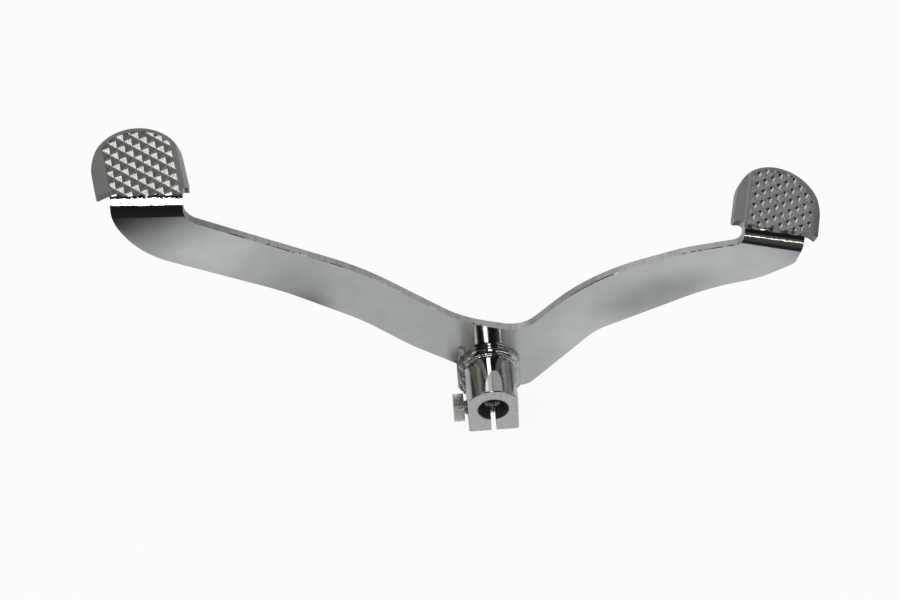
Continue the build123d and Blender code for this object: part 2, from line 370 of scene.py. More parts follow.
# a small leaning oval beside every crest
def addCrestMark(tree, crestPlace, mark, ragged):
    up = addMath(tree, "SUBTRACT", crestPlace[1], mark["place"][1])
    sideways = addMath(tree, "SUBTRACT", crestPlace[0], mark["place"][0])
    sideways = addMath(tree, "SUBTRACT", sideways, addProduct(tree, up, mark["lean"]))
    parts = []
    for part, size in zip((sideways, up), mark["size"]):
        share = addMath(tree, "ABSOLUTE", addMath(tree, "DIVIDE", part, size))
        parts.append(addMath(tree, "POWER", share, 2))
    return addFall(tree, addSum(tree, *parts, ragged), 0.5, 1.5)


def addKnurlColour(tree, look, place, colour, facets, height):
    onKnurl = addLargest(tree, *facets)
    grain = addNoise(tree, *look["grain"])
    # painted light: the right knurl's facets are made lighter
    mottle = addProduct(tree, addStep(tree, grain, 0.3, 0.7, *look["mottle"]),
                        addStep(tree, facets[1], 0, 1, 1, look["rightKnurlLight"]))
    mottled = addColourMix(tree, 1.0, colour, mottle, "MULTIPLY")
    colour = addColourMix(tree, onKnurl, colour, mottled)
    # painted shade lies in the grooves, with a ragged limit
    wander = addProduct(tree, addMath(tree, "SUBTRACT", grain, 0.5), look["grooveShadeWander"])
    bottom = -look["knurlDepth"]
    grooveShading = addFall(tree, addSum(tree, height, wander), bottom - 0.1 * mm, bottom + 0.2 * mm)
    colour = addColourMix(tree, addProduct(tree, grooveShading, onKnurl), colour, look["groove"])
    crestPlace = addCrestPlace(tree, place.outputs["Object"], look)
    ragged = addProduct(tree, addMath(tree, "SUBTRACT", addNoise(tree, *look["ragged"]), 0.5), 3.0)
    # a painted shadow and a painted highlight beside every crest of the right knurl
    for kind in ("shadedPit", "highlightTick"):
        mark = addProduct(tree, addCrestMark(tree, crestPlace, look[kind], ragged), facets[1])
        colour = addColourMix(tree, mark, colour, look[kind]["colour"])
    return colour, onKnurl, mark


# where one kind of painted mark on the front corner lies, by how likely it is at each place along X
def addPaintedCornerMarks(tree, paintedCornerMarks, along, corner, low=-0.1, high=0.1):
    reach = tree.nodes.new("ShaderNodeMapRange")
    reach.inputs["From Min"].default_value = low
    reach.inputs["From Max"].default_value = high
    tree.links.new(along, reach.inputs["Value"])
    stops = [(0.0, 0.1)]
    stops += [((place - low) / (high - low), share) for place, share in paintedCornerMarks["places"]]
    likely = addRamp(tree, reach.outputs[0], stops, "CONSTANT")
    found = addStep(tree, addSum(tree, addNoise(tree, *paintedCornerMarks["noise"]), likely), *paintedCornerMarks["from"])
    return addProduct(tree, found, corner)


def addPlateRoughness(tree, look, masks, onKnurl, spot):
    along, depth, up = spot
    low, high = look["armRough"]
    rough = addStep(tree, addNoise(tree, *look["haze"]), 0.3, 0.75, low, high)
    fromMiddle = addMath(tree, "ABSOLUTE", along)
    rough = addLargest(tree, rough, addStep(tree, fromMiddle, *look["hub"], look["hubRough"], 0))
    aboveBoss = addProduct(tree, addStep(tree, up, *look["mirrorAbove"]),
                           addFall(tree, depth, *look["mirrorDepth"]))
    fromMirror = addMath(tree, "ABSOLUTE", addMath(tree, "SUBTRACT", along, look["mirrorMiddle"]))
    dulled = addStep(tree, fromMirror, *look["dullHalf"], look["hubDull"] - look["hubRough"], 0)
    clear = addStep(tree, fromMirror, *look["mirrorHalf"], look["hubMirror"] - look["hubDull"], 0)
    rough = addSum(tree, rough, addProduct(tree, dulled, aboveBoss),
                   addProduct(tree, clear, aboveBoss))
    rough = addProduct(tree, rough, addStep(tree, masks["fold"], 0, 1, 1, look["foldRough"] / high))
    for where, finish in ((masks["edge"], "edgeRough"), (masks["pad"], "padRough"),
                          (onKnurl, "knurlRough")):
        rough = addLargest(tree, rough, addProduct(tree, where, look[finish]))
    return rough


def makeLeverChrome(name, look):
    material, tree, shader = newMaterial(name)
    place = tree.nodes.new("ShaderNodeTexCoord")
    spot = addAxes(tree, place.outputs["Object"])
    along, depth, up = spot
    frontal = addAxes(tree, place.outputs["Normal"])[1]
    masks = addPlateMasks(tree, look, depth, frontal)

    film = addNoise(tree, *look["film"])
    colour = addRamp(tree, film, [(0.35, look["clean"]), (0.75, look["dull"])])
    shear = addNoise(tree, *look["shear"])
    edgeColour = addColourMix(tree, addStep(tree, shear, 0.4, 0.7), look["edge"], look["edgeDull"])
    leftEnd = addStep(tree, along, *look["leftEnd"], look["leftEndEdge"], 1)
    edgeColour = addColourMix(tree, 1.0, edgeColour, leftEnd, "MULTIPLY")
    colour = addColourMix(tree, masks["edge"], colour, edgeColour)
    # painted shade on the heel faces
    colour = addColourMix(tree, masks["heel"], colour, look["heel"])
    padTone = addStep(tree, masks["pad"], 0, 1, 1, look["padTone"])
    colour = addColourMix(tree, 1.0, colour, padTone, "MULTIPLY")
    facets, height = addKnurls(tree, look, place, along, masks["pad"])
    colour, onKnurl, highlightTick = addKnurlColour(tree, look, place, colour, facets, height)
    # painted dark reflections and painted highlights along the front corner
    for kind in ("darkCornerReflections", "cornerHighlights"):
        paintedCornerMark = addPaintedCornerMarks(tree, look[kind], along, masks["corner"])
        colour = addColourMix(tree, paintedCornerMark, colour, look[kind]["colour"])
    tree.links.new(colour, shader.inputs["Base Color"])

    bare = addLargest(tree, addProduct(tree, masks["pad"], look["padBare"]),
                      addProduct(tree, masks["edge"], look["edgeBare"]),
                      addProduct(tree, addLargest(tree, paintedCornerMark, highlightTick), look["markBare"]))
    tree.links.new(addMath(tree, "SUBTRACT", 1, bare), shader.inputs["Metallic"])
    rough = addPlateRoughness(tree, look, masks, onKnurl, spot)
    tree.links.new(rough, shader.inputs["Roughness"])
    ripple = addProduct(tree, addNoise(tree, *look["rippleNoise"]), masks["fold"])
    addBumps(tree, shader, [
        (addNoise(tree, 60, 1.0), 0.06 * mm, 0.5),
        (addNoise(tree, 2600, 2.0), 0.003 * mm, 0.4),
        (ripple, look["ripple"], 1.0),
        (addProduct(tree, addNoise(tree, 1500, 3.0, 0.6), masks["pad"]), 0.05 * mm, 0.45),
        (addProduct(tree, shear, masks["edge"]), 0.05 * mm, 0.3),
    ])
    return material


# the clamp: polished round the outside, left from the saw on its front face, bare metal in the bore
# painted dark as shade, with a painted highlight where the bolt's hole opens into the bore
clampChrome = {
    "clean": (0.60, 0.61, 0.61),
    "dull": (0.50, 0.50, 0.48),
    "sawn": (0.66, 0.67, 0.67),
    "frontFacing": (-0.98, -0.9),
    "sideFacing": (0.93, 0.99),
    "polish": (0.05, 0.09),
    "sawnRough": 0.33,
    "sideRough": 0.22,
    "boreRough": 0.5,
    # painted shade: the bore and the slot are painted dark
    "bore": (0.085, 0.092, 0.09),
    "boreMirror": 0.35,
    "boreRadius": 6.45 * mm,
    "slotHalf": 1.0 * mm,
    "slotFrom": -5 * mm,
    # painted highlight where the bolt's hole opens into the bore
    "paintedHighlight": (0.97, 0.98, 0.96),
    "highlightFrom": -13.7 * mm,
    "highlightTo": -12.1 * mm,
    "highlightHalf": 2.6 * mm,
    "highlightBelow": -4.5 * mm,
    # noises, as scale, detail and roughness
    "film": (160, 4.0, 0.6),
    "cast": (900, 4.0, 0.65),
    "haze": (120, 4.0, 0.6),
}


def makeClampChrome(name, look):
    material, tree, shader = newMaterial(name)
    place = tree.nodes.new("ShaderNodeTexCoord")
    facing = addAxes(tree, place.outputs["Normal"])
    across, depth, up = addAxes(tree, place.outputs["Object"])
    onFront = addFall(tree, facing[1], *look["frontFacing"])
    onSide = addStep(tree, addMath(tree, "ABSOLUTE", facing[0]), *look["sideFacing"])
    film = addNoise(tree, *look["film"])
    colour = addRamp(tree, film, [(0.40, look["clean"]), (0.70, look["dull"])])
    cast = addNoise(tree, *look["cast"])
    sawn = addColourMix(tree, addStep(tree, cast, 0.4, 0.75), look["sawn"], look["dull"])
    colour = addColourMix(tree, onFront, colour, sawn)

    squares = addSum(tree, addProduct(tree, across, across), addProduct(tree, up, up))
    fromAxis = addMath(tree, "SQRT", squares)
    sideways = addMath(tree, "ABSOLUTE", across)
    soft = 0.1 * mm
    inBore = addFall(tree, fromAxis, look["boreRadius"], look["boreRadius"] + soft)
    inSlot = addProduct(tree, addFall(tree, sideways, look["slotHalf"], look["slotHalf"] + soft),
                        addFall(tree, up, look["slotFrom"], look["slotFrom"] + 0.5 * mm))
    behindFront = addMath(tree, "SUBTRACT", 1, onFront)
    inside = addProduct(tree, addLargest(tree, inBore, inSlot), behindFront)
    colour = addColourMix(tree, inside, colour, look["bore"])
    # a painted highlight at the mouth of the bolt's hole
    paintedHighlight = addProduct(tree, inside,
                        addStep(tree, depth, look["highlightFrom"], look["highlightFrom"] + 0.2 * mm),
                        addFall(tree, depth, look["highlightTo"], look["highlightTo"] + 0.2 * mm),
                        addFall(tree, sideways, look["highlightHalf"], look["highlightHalf"] + 0.3 * mm),
                        addFall(tree, up, look["highlightBelow"], look["highlightBelow"] + 0.5 * mm))
    colour = addColourMix(tree, paintedHighlight, colour, look["paintedHighlight"])
    tree.links.new(colour, shader.inputs["Base Color"])
    tree.links.new(addStep(tree, inside, 0, 1, 1, look["boreMirror"]), shader.inputs["Metallic"])

    rough = addStep(tree, addNoise(tree, *look["haze"]), 0.3, 0.75, *look["polish"])
    for where, finish in ((onFront, "sawnRough"), (onSide, "sideRough"), (inside, "boreRough")):
        rough = addLargest(tree, rough, addProduct(tree, where, look[finish]))
    tree.links.new(rough, shader.inputs["Roughness"])
    flats = addLargest(tree, onFront, addProduct(tree, onSide, 0.5))
    addBumps(tree, shader, [
        (addNoise(tree, 260, 2.0), 0.012 * mm, 0.6),
        (addProduct(tree, cast, flats), 0.08 * mm, 0.4),
    ])
    return material


# the weld: a darker, rougher left leg with painted glints and a dull right one, with the polished
# arch between them
weldChrome = {
    "clean": (0.60, 0.60, 0.59),
    "burnt": (0.11, 0.11, 0.105),
    "bright": (0.80, 0.80, 0.78),
    "leftFrom": (-9.5 * mm, -7 * mm),
    "rightFrom": (7 * mm, 9 * mm),
    "leftBare": 0.55,
    "rightBare": 0.30,
    "leftRough": 0.36,
    "rightRough": 0.32,
    "leftDarker": 0.16,
    "polish": (0.06, 0.16),
    # noises, as scale, detail and roughness
    "soot": (330, 4.0, 0.6),
    "glints": (700, 3.0),
    "haze": (300, 3.0),
    "grain": (1300, 3.0, 0.6),
}


def makeWeldChrome(name, look):
    material, tree, shader = newMaterial(name)
    place = tree.nodes.new("ShaderNodeTexCoord")
    across = addAxes(tree, place.outputs["Object"])[0]
    leftLeg = addFall(tree, across, *look["leftFrom"])
    rightLeg = addStep(tree, across, *look["rightFrom"])
    # the left leg is made darker
    leftDarker = addProduct(tree, leftLeg, look["leftDarker"])
    soot = addSum(tree, addNoise(tree, *look["soot"]), leftDarker)
    colour = addRamp(tree, soot, [(0.50, look["clean"]), (0.66, look["burnt"])])
    # painted glints: bright specks on the left leg
    glint = addProduct(tree, addStep(tree, addNoise(tree, *look["glints"]), 0.60, 0.68), leftLeg)
    colour = addColourMix(tree, glint, colour, look["bright"])
    tree.links.new(colour, shader.inputs["Base Color"])
    bare = addSum(tree, addProduct(tree, leftLeg, look["leftBare"]),
                  addProduct(tree, rightLeg, look["rightBare"]))
    tree.links.new(addMath(tree, "SUBTRACT", 1, bare), shader.inputs["Metallic"])
    haze = addNoise(tree, *look["haze"])
    rough = addLargest(tree, addStep(tree, haze, 0.4, 0.75, *look["polish"]),
                       addProduct(tree, leftLeg, look["leftRough"]),
                       addProduct(tree, rightLeg, look["rightRough"]))
    tree.links.new(rough, shader.inputs["Roughness"])
    addBumps(tree, shader, [(addNoise(tree, *look["grain"]), 0.06 * mm, 0.3)])
    return material


# the bolt's zinc: stained at random and painted darker as shade on the head's upper side, with
# painted highlights on its corners and rim
zincPlate = {
    "light": (0.58, 0.57, 0.53),
    "grey": (0.40, 0.40, 0.37),
    "dark": (0.13, 0.135, 0.125),
    "headHighlight": (0.85, 0.84, 0.80),
    "bare": 0.25,
    "upperShadeFrom": -5.3 * mm,
    "upperShade": 0.15,
    "axis": boltPlace,
    "cornersFrom": 5.30 * mm,
    "rim": (-14.25 * mm, -14.0 * mm),
    "rough": (0.28, 0.42),
    # noises, as scale, detail and roughness
    "stain": (520, 4.0, 0.65),
    "highlightBreaks": (600, 3.0),
    "haze": (900, 3.0),
    "grain": (2200, 3.0),
}


def makeZinc(name, look):
    material, tree, shader = newMaterial(name)
    shader.inputs["Metallic"].default_value = 1 - look["bare"]
    place = tree.nodes.new("ShaderNodeTexCoord")
    along, depth, up = addAxes(tree, place.outputs["Object"])
    # painted shade: the head's upper side is painted darker
    above = addStep(tree, up, look["upperShadeFrom"], look["upperShadeFrom"] + 0.9 * mm)
    upperShade = addProduct(tree, above, look["upperShade"])
    stain = addSum(tree, addNoise(tree, *look["stain"]), upperShade)
    stops = [(0.42, look["light"]), (0.60, look["grey"]), (0.74, look["dark"])]
    colour = addRamp(tree, stain, stops)
    fromAxis = addVectorMath(tree, "SUBTRACT", place.outputs["Object"], look["axis"])
    radius = addVectorMath(tree, "LENGTH", addVectorMath(tree, "MULTIPLY", fromAxis, (0, 1, 1)))
    # painted highlights on the head's corners and rim
    onCorner = addStep(tree, radius, look["cornersFrom"], look["cornersFrom"] + 0.2 * mm)
    paintedHighlight = addProduct(tree, addLargest(tree, onCorner, addFall(tree, along, *look["rim"])),
                        addStep(tree, addNoise(tree, *look["highlightBreaks"]), 0.35, 0.5))
    colour = addColourMix(tree, paintedHighlight, colour, look["headHighlight"])
    tree.links.new(colour, shader.inputs["Base Color"])
    low, high = look["rough"]
    rough = addRamp(tree, addNoise(tree, *look["haze"]), [(0.3, low), (0.7, high)])
    tree.links.new(rough, shader.inputs["Roughness"])
    addBumps(tree, shader, [(addNoise(tree, *look["grain"]), 0.04 * mm, 0.35)])
    return material


clampMetal = makeClampChrome("clampChrome", clampChrome)
leverMetal = makeLeverChrome("leverChrome", leverChrome)
weldMetal = makeWeldChrome("weldChrome", weldChrome)
zinc = makeZinc("zincPlate", zincPlate)


# gives a CAD node its finish
def dress(name, material):
    node = frame["nodes"][name]
    node.data.materials.clear()
    node.data.materials.append(material)


dress("lever_arm", leverMetal)
dress("clamp_boss", clampMetal)
dress("weld_bead", weldMetal)
dress("pinch_bolt", zinc)
print("materials done")


def selectOnly(piece):
    deselectAll()
    piece.select_set(True)
    bpy.context.view_layer.objects.active = piece


# opens a piece in edit mode with nothing of it selected
def openEdit(piece):
    selectOnly(piece)
    bpy.ops.object.mode_set(mode="EDIT")
    bpy.ops.mesh.select_all(action="DESELECT")


# runs an operator on the whole of the open piece
def onAll(operator, **settings):
    bpy.ops.mesh.select_all(action="SELECT")
    operator(**settings)


# selects the edges or vertices of the open piece that pass a test
def pick(piece, kind, test):
    shape = bmesh.from_edit_mesh(piece.data)
    for element in getattr(shape, kind):
        element.select_set(test(element))
    shape.select_flush_mode()
    bmesh.update_edit_mesh(piece.data)


def joinAll(parts, name):
    deselectAll()
    for part in parts:
        part.select_set(True)
    bpy.context.view_layer.objects.active = parts[0]
    bpy.ops.object.join()
    parts[0].name = name
    return parts[0]


def applyPlace(piece):
    selectOnly(piece)
    bpy.ops.object.transform_apply(location=True, rotation=True, scale=True)


def applyModifier(piece, kind, **settings):
    selectOnly(piece)
    modifier = piece.modifiers.new(kind.lower(), kind)
    for key, value in settings.items():
        setattr(modifier, key, value)
    bpy.ops.object.modifier_apply(modifier=modifier.name)


# a copy of an object with a mesh of its own
def copyOf(source):
    piece = source.copy()
    piece.data = source.data.copy()
    bpy.context.scene.collection.objects.link(piece)
    return piece


def finishPiece(piece, material, node, smoothTo):
    selectOnly(piece)
    bpy.ops.object.shade_smooth_by_angle(angle=math.radians(smoothTo))
    piece.data.materials.clear()
    piece.data.materials.append(material)
    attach(piece, "root")
    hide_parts(node)


# the bolt is modelled round the X axis and then moved to its place
pinchBolt = {
    "place": boltPlace,
    "headStart": -14.5 * mm,
    "headHeight": 4 * mm,
    "acrossFlats": 10 * mm,
    "headTurn": 12,
    "headChamfer": 0.55 * mm,
    "headRound": 0.25 * mm,
    "radius": 3 * mm,
    "length": 18 * mm,
    "threadDepth": 0.61 * mm,
    "threadPitch": 1 * mm,
    "threadRoot": 0.94,        # share of the pitch that the foot of the thread takes
    "threadCrest": 0.14 * mm,
    "threadSunk": 0.05 * mm,   # how far the thread reaches into the core
    "smoothTo": 30,
}


# a cylinder along the X axis
def addRod(vertices, radius, length, middle):
    deselectAll()
    bpy.ops.mesh.primitive_cylinder_add(
        vertices=vertices, radius=radius, depth=length, location=(middle, 0, 0),
        rotation=(0, math.radians(90), 0))
    rod = bpy.context.object
    applyPlace(rod)
    return rod


def makeBoltHead(bolt):
    radius = bolt["acrossFlats"] / math.sqrt(3)
    middle = bolt["headStart"] + bolt["headHeight"] / 2
    bpy.ops.mesh.primitive_cylinder_add(
        vertices=6, radius=radius, depth=bolt["headHeight"], location=(middle, 0, 0))
    head = bpy.context.object
    turn = Matrix.Rotation(math.radians(bolt["headTurn"]), 4, "X")
    head.rotation_euler = (turn @ Matrix.Rotation(math.radians(90), 4, "Y")).to_euler()
    applyPlace(head)
    # the chamfered round that the head's corners are turned down to
    blank = addRod(96, radius, bolt["headHeight"] * 1.02, middle)
    openEdit(blank)
    outer = bolt["headStart"] + 0.1 * mm
    pick(blank, "edges", lambda edge: all(vertex.co.x < outer for vertex in edge.verts))
    bpy.ops.mesh.bevel(offset=bolt["headChamfer"], segments=1)
    bpy.ops.object.mode_set(mode="OBJECT")
    applyModifier(head, "BOOLEAN", operation="INTERSECT", object=blank, solver="EXACT")
    bpy.data.objects.remove(blank)
    applyModifier(head, "BEVEL", width=bolt["headRound"], segments=2, limit_method="ANGLE",
                  angle_limit=math.radians(25))
    return head


# one turn's profile, wide at the root and narrow at the crest, swept along the shank
def makeThread(bolt, start):
    deselectAll()
    pitch = bolt["threadPitch"]
    width = pitch * bolt["threadRoot"]
    height = bolt["threadDepth"] + bolt["threadSunk"]
    middle = start + pitch / 2
    bpy.ops.mesh.primitive_plane_add(
        size=1, location=(middle, 0, bolt["radius"] - height / 2),
        rotation=(math.radians(90), 0, 0))
    thread = bpy.context.object
    thread.scale = (width, height, 1)
    applyPlace(thread)
    openEdit(thread)
    crest = bolt["radius"] - 0.01 * mm
    pick(thread, "verts", lambda vertex: vertex.co.z > crest)
    bpy.ops.transform.resize(
        value=(bolt["threadCrest"] / width, 1, 1), center_override=(middle, 0, bolt["radius"]))
    onAll(bpy.ops.mesh.delete, type="ONLY_FACE")
    bpy.ops.object.mode_set(mode="OBJECT")
    turns = int(bolt["length"] / pitch) - 1
    applyModifier(thread, "SCREW", axis="X", angle=math.radians(360), screw_offset=pitch,
                  iterations=turns, steps=32, render_steps=32, use_merge_vertices=False)
    openEdit(thread)
    onAll(bpy.ops.mesh.remove_doubles, threshold=0.0005 * mm)
    bpy.ops.mesh.select_all(action="DESELECT")
    bpy.ops.mesh.select_non_manifold()   # the two open ends
    bpy.ops.mesh.edge_face_add()
    onAll(bpy.ops.mesh.normals_make_consistent, inside=False)
    bpy.ops.object.mode_set(mode="OBJECT")
    return thread


def makePinchBolt(bolt):
    deselectAll()
    head = makeBoltHead(bolt)
    start = bolt["headStart"] + bolt["headHeight"]
    coreRadius = bolt["radius"] - bolt["threadDepth"]
    core = addRod(40, coreRadius, bolt["length"], start + bolt["length"] / 2)
    piece = joinAll([head, core, makeThread(bolt, start)], "pinchBolt")
    openEdit(piece)
    onAll(bpy.ops.transform.translate, value=bolt["place"])
    bpy.ops.object.mode_set(mode="OBJECT")
    finishPiece(piece, zinc, "pinch_bolt", bolt["smoothTo"])


makePinchBolt(pinchBolt)
print("pinch bolt done")


# puddles of weld laid one over the other round the root of the boss, melted into one bead
weldBead = {
    # how far out, how far forward and how thick each run is; the second is on the first one's foot
    "runs": [
        {"arch": 11.25 * mm, "side": 9.95 * mm, "forward": 0.75 * mm,
         "puddle": (1.55 * mm, 1.75 * mm, 1.55 * mm)},
        {"arch": 10.35 * mm, "side": 9.30 * mm, "forward": 2.85 * mm,
         "puddle": (0.95 * mm, 0.85 * mm, 0.95 * mm)},
    ],
    # the thick left leg, which runs straight up beside the arch
    "leg": {"x": -10.15 * mm, "from": 2.0 * mm, "to": 11.9 * mm, "forward": 0.5 * mm,
            "puddle": (1.35 * mm, 1.3 * mm, 1.1 * mm)},
    "bottom": -9.6 * mm,
    "cutBelow": -11.3 * mm,
    "step": 0.75 * mm,
    "sagFrom": 0.35,   # a puddle sags on the side where it meets the plate
    "sag": 1.06,
    # puddles stray and differ in size, and more so on the left: from and over so many mm
    "wander": 0.10 * mm,
    "leftWander": 0.32 * mm,
    "leftFrom": 4,
    "leftOver": 5,
    "uneven": 0.22,
    "ripple": 0.7,     # radians from one puddle to the next
    "swell": 0.06,
    "voxel": 0.2 * mm,
    "melting": 16,
    "spatter": [(-6.7 * mm, -0.2 * mm, 14.0 * mm, 0.42 * mm),
                (11.3 * mm, -0.1 * mm, 12.2 * mm, 0.28 * mm)],
    "smoothTo": 50,
}


# places along one run, as the puddle's number, x and z
def weldPath(run, bead):
    corner = math.acos(run["side"] / run["arch"])
    shoulder = run["arch"] * math.sin(corner)
    rise = shoulder - bead["bottom"]
    arch = run["arch"] * (math.pi - 2 * corner)
    count = int((2 * rise + arch) / bead["step"])
    for index in range(count + 1):
        along = (2 * rise + arch) * index / count
        if along < rise:
            yield index, -run["side"], bead["bottom"] + along
        elif along < rise + arch:
            angle = math.pi - corner - (along - rise) / run["arch"]
            yield index, run["arch"] * math.cos(angle), run["arch"] * math.sin(angle)
        else:
            yield index, run["side"], shoulder - (along - rise - arch)


# the ball that every puddle is a copy of
def makePuddle(bead):
    deselectAll()
    bpy.ops.mesh.primitive_ico_sphere_add(subdivisions=3, radius=1, location=(0, 0, 0))
    puddle = bpy.context.object
    openEdit(puddle)
    pick(puddle, "verts", lambda vertex: vertex.co.y > bead["sagFrom"])
    bpy.ops.transform.resize(value=(bead["sag"], 1, bead["sag"]), center_override=(0, 0, 0))
    bpy.ops.object.mode_set(mode="OBJECT")
    return puddle


def copyPuddle(model, place, size):
    puddle = copyOf(model)
    puddle.location = place
    puddle.scale = size
    return puddle


def layPuddles(bead, model):
    dice = random.Random(11)
    puddles = []
    for run in bead["runs"]:
        for index, x, z in weldPath(run, bead):
            left = min(max((-x / mm - bead["leftFrom"]) / bead["leftOver"], 0), 1)
            wander = bead["wander"] + left * (bead["leftWander"] - bead["wander"])
            wave = bead["swell"] * math.sin(index * bead["ripple"]) * (1 + left)
            swell = 1 + wave + dice.uniform(-1, 1) * wander / mm * bead["uneven"]
            middle = (x, -run["forward"], z)
            place = [part + dice.uniform(-0.6, 0.6) * wander for part in middle]
            puddles.append(copyPuddle(model, place, [size * swell for size in run["puddle"]]))
    leg = bead["leg"]
    for index in range(int((leg["to"] - leg["from"]) / bead["step"]) + 1):
        wander = bead["leftWander"]
        place = (leg["x"] + dice.uniform(-0.4, 0.4) * wander,
                 -leg["forward"] - dice.uniform(0, 0.5) * wander,
                 leg["from"] + index * bead["step"])
        puddles.append(copyPuddle(model, place, leg["puddle"]))
    for x, y, z, radius in bead["spatter"]:
        puddles.append(copyPuddle(model, (x, y, z), (radius,) * 3))
    return puddles


def makeWeldBead(bead):
    model = makePuddle(bead)
    puddles = layPuddles(bead, model)
    bpy.data.objects.remove(model)
    piece = joinAll(puddles, "weldBead")
    applyPlace(piece)
    applyModifier(piece, "REMESH", mode="VOXEL", voxel_size=bead["voxel"])
    applyModifier(piece, "SMOOTH", factor=0.5, iterations=bead["melting"])
    openEdit(piece)
    # cut off flat, against the plate and at the foot of the legs
    for place, outward in (((0, 0, 0), (0, 1, 0)), ((0, 0, bead["cutBelow"]), (0, 0, -1))):
        onAll(bpy.ops.mesh.bisect, plane_co=place, plane_no=outward, use_fill=True,
              clear_outer=True, threshold=0.001 * mm)
    onAll(bpy.ops.mesh.normals_make_consistent, inside=False)
    bpy.ops.object.mode_set(mode="OBJECT")
    finishPiece(piece, weldMetal, "weld_bead", bead["smoothTo"])


makeWeldBead(weldBead)
print("weld done")


# the CAD plate with its sheared edges slightly broken
leverSkin = {
    "edgeBreak": 0.28 * mm,
    "segments": 2,
    "sharpFrom": 40,
    "thickness": plateThickness,
    "smoothTo": 35,
    # points closer than this are merged, faces flatter than this joined, and slivers closed
    "merge": 0.002 * mm,
    "flatTo": 0.6,
    "sliver": 0.022 * mm,
}


def makeLeverSkin(settings):
    piece = copyOf(frame["nodes"]["lever_arm"])
    piece.name = "leverSkin"
    selectOnly(piece)
    bpy.ops.mesh.customdata_custom_splitnormals_clear()
    openEdit(piece)
    onAll(bpy.ops.mesh.remove_doubles, threshold=settings["merge"])
    onAll(bpy.ops.mesh.dissolve_limited, angle_limit=math.radians(settings["flatTo"]))
    onAll(bpy.ops.mesh.dissolve_degenerate, threshold=settings["sliver"])
    # the edges of the flat plate, up to where the pads fold away from it
    sharp = math.radians(settings["sharpFrom"])
    back = settings["thickness"] + 0.02 * mm
    bpy.ops.mesh.select_all(action="DESELECT")
    pick(piece, "edges", lambda edge: (
        edge.calc_face_angle(0) > sharp and all(vertex.co.y < back for vertex in edge.verts)))
    bpy.ops.mesh.bevel(
        offset=settings["edgeBreak"], segments=settings["segments"], clamp_overlap=True)
    bpy.ops.object.mode_set(mode="OBJECT")
    finishPiece(piece, leverMetal, "lever_arm", settings["smoothTo"])
    applyModifier(piece, "WEIGHTED_NORMAL", mode="FACE_AREA", weight=60, keep_sharp=True)


makeLeverSkin(leverSkin)
print("lever plate done")


# the camera stands where the photo was taken from
cameraView = {
    "place": (-0.02401, -0.53699, 0.64711),
    "turn": (41.4400, 2.2599, -3.7205),
    "lens": 90,
    "sensor": 36,
}


def makeCamera(settings):
    data = bpy.data.cameras.new("camera")
    data.lens = settings["lens"]
    data.sensor_width = settings["sensor"]
    camera = bpy.data.objects.new("camera", data)
    bpy.context.scene.collection.objects.link(camera)
    camera.location = settings["place"]
    camera.rotation_euler = Euler([math.radians(angle) for angle in settings["turn"]])
    bpy.context.scene.camera = camera


makeCamera(cameraView)


# white for the camera; metal mirrors a painted glowing pool on the floor, with painted light and
# shade patches, that ends in front of the lever
floorLook = {
    "size": 3.0,
    "colour": 0.9,
    "seen": 0.92,
    "level": 0.60,
    "tint": (0.98, 1.0, 1.01),
    "dark": 0.02,
    "pool": {"centre": (-0.035, 0.0), "size": (0.188, 0.115), "soft": (0.96, 1.07)},
    # painted light and shade patches: centre, half size, turn, and share added or taken
    "lightAndShadePatches": [
        ((-0.0685, -0.0505), (0.011, 0.008), 0, -0.55),
        ((-0.074, -0.059), (0.018, 0.015), 0, -0.22),
        ((-0.135, -0.103), (0.030, 0.020), 0, -0.42),
        ((0.068, -0.0425), (0.030, 0.0095), -17, -0.36),
        ((0.038, -0.024), (0.022, 0.020), 0, 0.16),
        ((-0.108, -0.084), (0.024, 0.016), 0, 0.32),
        ((0.100, -0.030), (0.075, 0.120), 0, 0.20),
    ],
    # painted glows: centre, half size, softness and level of what else is lit: far in front, and
    # all behind
    "glows": [((0.30, -0.50), (0.25, 0.38), (0.4, 1.3), 0.07),
              ((0.0, 1.32), (1.6, 1.2), (0.97, 1.05), 0.50)],
}


def addShaderMix(tree, share, first, second):
    mix = tree.nodes.new("ShaderNodeMixShader")
    for socket, source in zip(mix.inputs, (share, first, second)):
        tree.links.new(source, socket)
    return mix.outputs[0]


# 1 for rays that metal mirrors or glass lets through
def addBounced(tree, rays):
    return addLargest(tree, rays.outputs["Is Glossy Ray"], rays.outputs["Is Transmission Ray"])


# how bright the floor looks in the metal, from place to place, as painted light and shade
def addFloorLevel(tree, settings):
    pool = settings["pool"]
    level = addPatch(tree, pool["centre"], pool["size"], 0, pool["soft"])
    for centre, size, turn, share in settings["lightAndShadePatches"]:
        change = addProduct(tree, addPatch(tree, centre, size, turn), share)
        level = addProduct(tree, level, addSum(tree, change, 1))
    level = addProduct(tree, level, settings["level"])
    for centre, size, soft, strength in settings["glows"]:
        glow = addProduct(tree, addPatch(tree, centre, size, 0, soft), strength)
        level = addLargest(tree, level, glow)
    return addSum(tree, level, settings["dark"])


def makeFloor(settings):
    deselectAll()
    bpy.ops.mesh.primitive_plane_add(size=settings["size"], location=(0, 0, cadLow[2]))
    floor = bpy.context.object
    floor.name = "floor"
    material, tree, output = emptyMaterial("floorPaper")
    rays = tree.nodes.new("ShaderNodeLightPath")
    paper = tree.nodes.new("ShaderNodeBsdfDiffuse")
    paper.inputs["Color"].default_value = (settings["colour"],) * 3 + (1,)
    glow = tree.nodes.new("ShaderNodeEmission")
    toCamera = addProduct(tree, rays.outputs["Is Camera Ray"], settings["seen"])
    seen = addShaderMix(tree, toCamera, paper.outputs[0], glow.outputs[0])
    mirrored = tree.nodes.new("ShaderNodeEmission")
    mirrored.inputs["Color"].default_value = (*settings["tint"], 1)
    tree.links.new(addFloorLevel(tree, settings), mirrored.inputs["Strength"])
    final = addShaderMix(tree, addBounced(tree, rays), seen, mirrored.outputs[0])
    tree.links.new(final, output.inputs["Surface"])
    floor.data.materials.append(material)


makeFloor(floorLook)


